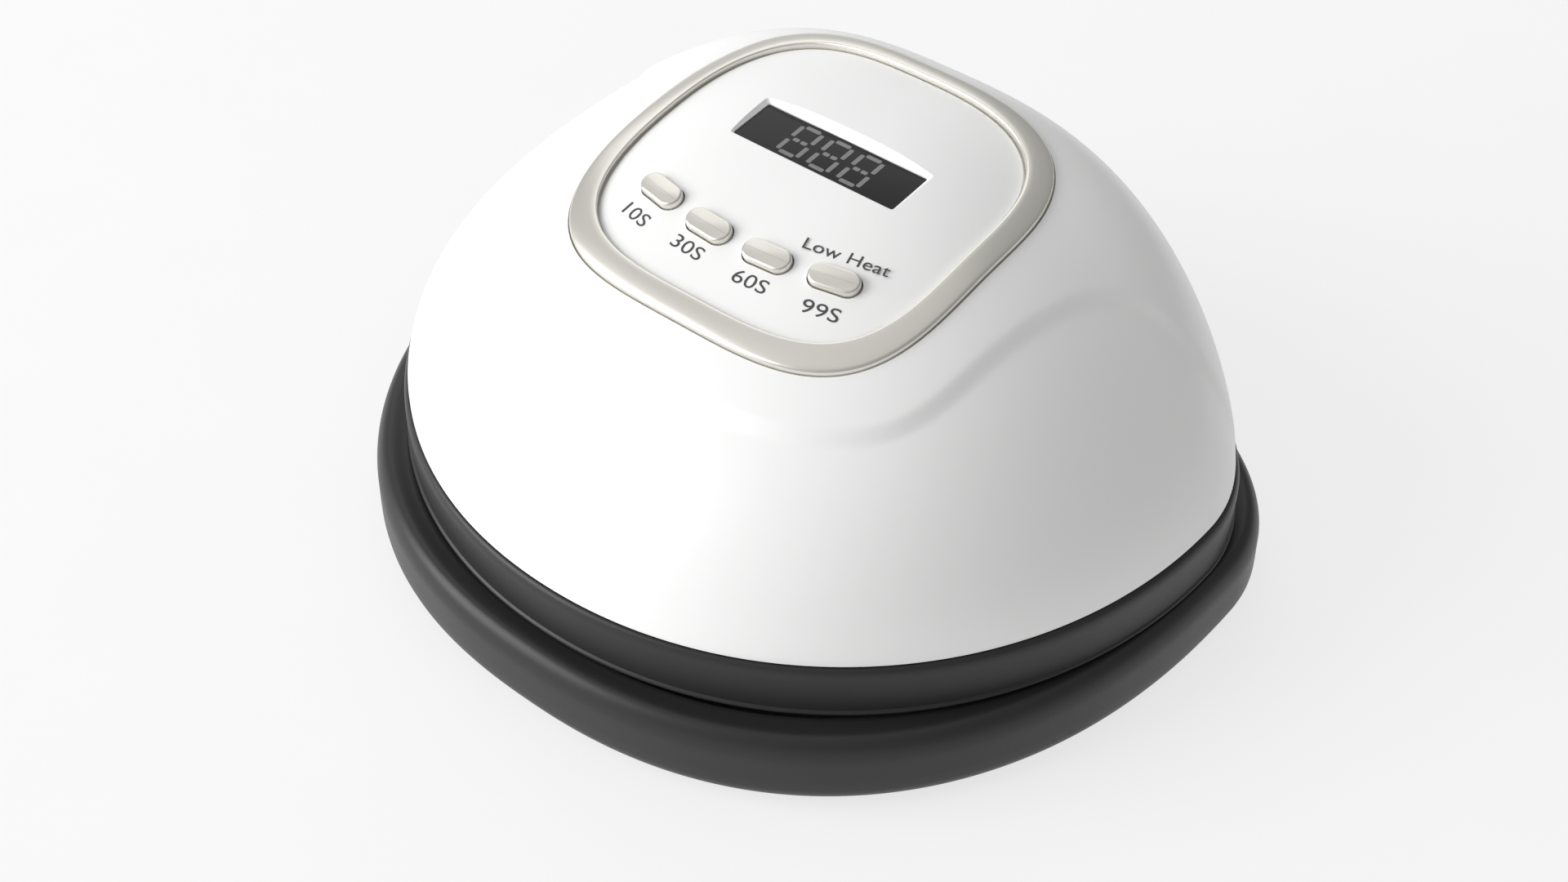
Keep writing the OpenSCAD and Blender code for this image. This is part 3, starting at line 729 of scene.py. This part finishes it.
flat_bar = rounded_bar(DIGIT_W - 2.4 * BAR, BAR, 0.05, 0.4, 0)
upright_bar = rounded_bar(DIGIT_H / 2 - 1.35 * BAR, BAR, 0.05, 0.4, 0)
place(upright_bar, Matrix.Rotation(math.pi / 2, 4, "Z"))
dash = rounded_bar(DIGIT_W * 0.25, BAR, 0.05, 0.4, 0)
reach, rise = DIGIT_W / 2 - BAR / 2, DIGIT_H / 2 - BAR / 2
bars = []
for digit in (-1, 0, 1):
    cx = digit * DIGIT_PITCH + 0.3
    bars += [segment(flat_bar, cx, side * rise) for side in (-1, 1)]
    bars += [segment(upright_bar, cx + sx * reach, sy * DIGIT_H * 0.245)
             for sx in (-1, 1) for sy in (-1, 1)]
    bars += [segment(dash, cx + sx * DIGIT_W * 0.16, 0) for sx in (-1, 1)]
for kind in (flat_bar, upright_bar, dash):
    bpy.data.objects.remove(kind)
digits = join("display_digit_bars", bars)
piece(digits, "head", unlit_segment, "window_acrylic")

# %% [markdown]
# ## Timer buttons
#
# Each button is a metallised pill on a flange that keeps it in its hole, with a stem that meets the
# switch. One is modelled from bevelled cubes and copied. Each copy is set on the dome's normal at its
# place, rides on its own body and moves in along that line.

# %% Buttons
CAP_PROUD, FLANGE_OUT, FLANGE_H, FLANGE_DROP = 1.8, 0.9, 1.0, 1.5
STEM_R, STEM_L = 1.8, 2.2
cap = rounded_bar(BUTTON_L, BUTTON_W, PANEL_T + CAP_PROUD, BUTTON_W / 2 - 0.01, 0.7)
flange = rounded_bar(BUTTON_L + 2 * FLANGE_OUT, BUTTON_W + 2 * FLANGE_OUT, FLANGE_H,
                     BUTTON_W / 2 + FLANGE_OUT - 0.01, 0.2)
place(flange, Matrix.Translation((0, 0, -FLANGE_DROP * MM)))
bpy.ops.object.select_all(action="DESELECT")
bpy.ops.mesh.primitive_cylinder_add(vertices=48, radius=STEM_R * MM, depth=STEM_L * MM)
stem = bpy.context.object
place(stem, Matrix.Translation((0, 0, -STEM_L / 2 * MM)))
blank = join("button_blank", [cap, flange, stem])
for label, x, y, yaw in BUTTONS:
    node = "button_" + label.lower()
    button = copy_of(blank)
    button.name = "timer_" + node
    place(button, tangent_frame(x, y, yaw, 0) @ Matrix.Translation((0, 0, -PANEL_T * MM)))
    smooth_by_angle(button, 40)
    piece(button, node, metallised_champagne, "button_metal", node)
bpy.data.objects.remove(blank)

# %% [markdown]
# ## Printed labels
#
# The times are pad-printed in dark grey in front of the buttons. They are generic numbers. Each is
# turned with its button and laid on the surface as a film of ink.

# %% Labels


def label_piece(text, x, y, yaw, size, stretch):
    bpy.ops.object.select_all(action="DESELECT")
    bpy.ops.object.text_add()
    obj = bpy.context.object
    obj.data.body, obj.data.size = text, size * MM
    obj.data.align_x, obj.data.align_y = "CENTER", "CENTER"
    obj.data.extrude, obj.data.offset = 0.02 * MM, 0.0
    obj.data.space_character = 1.02
    bpy.ops.object.convert(target="MESH")
    obj.name = "label_" + text.replace(" ", "_")
    place(obj, tangent_frame(x, y, yaw, 0.03) @ Matrix.Diagonal((stretch, 1, 1, 1)))
    piece(obj, "head", pad_printed_ink, "panel_plastic")


TIMES = [("10S", -29.3, -20.9, -13), ("30S", -10.4, -23.0, -4), ("60S", 9.6, -23.3, 4),
         ("99S", 29.1, -20.9, 13)]
for text, x, y, yaw in TIMES:
    label_piece(text, x, y, yaw, 5.3, 1.3)
label_piece("Low Heat", 25.2, -6.4, 12, 4.7, 1.2)

# %% [markdown]
# ## Inside: the reflector
#
# The skirt round the hand is a bright moulded reflector. Its side bows outward between the foot and
# the ceiling, so the side lights face the middle.

# %% Reflector skirt
CEILING_Z, SKIRT_T = 76.0, 1.6


def skirt_pt(a, t, depth):
    low = wall_pt(a, foot_z(a), FLANGE_IN + 0.6 + depth)
    r = oval_r(a, 66 - depth, 60.5 - depth, 2.6)
    s = 1 - math.cos(math.pi / 2 * t)
    return (blend(low[0], r * math.cos(a), s), blend(low[1], 12.5 + r * math.sin(a), s),
            blend(foot_z(a), CEILING_Z, math.sin(math.pi / 2 * t)))


skirt = loft("reflector_skirt_skin", [[skirt_pt(a, t / 14, 0) for a in ANGLES] for t in range(15)]
             + [[skirt_pt(a, t / 14, SKIRT_T) for a in ANGLES] for t in range(14, -1, -1)], degrees=40)
piece(skirt, "head", bright_reflector, "reflector_plastic", "reflector_skirt")
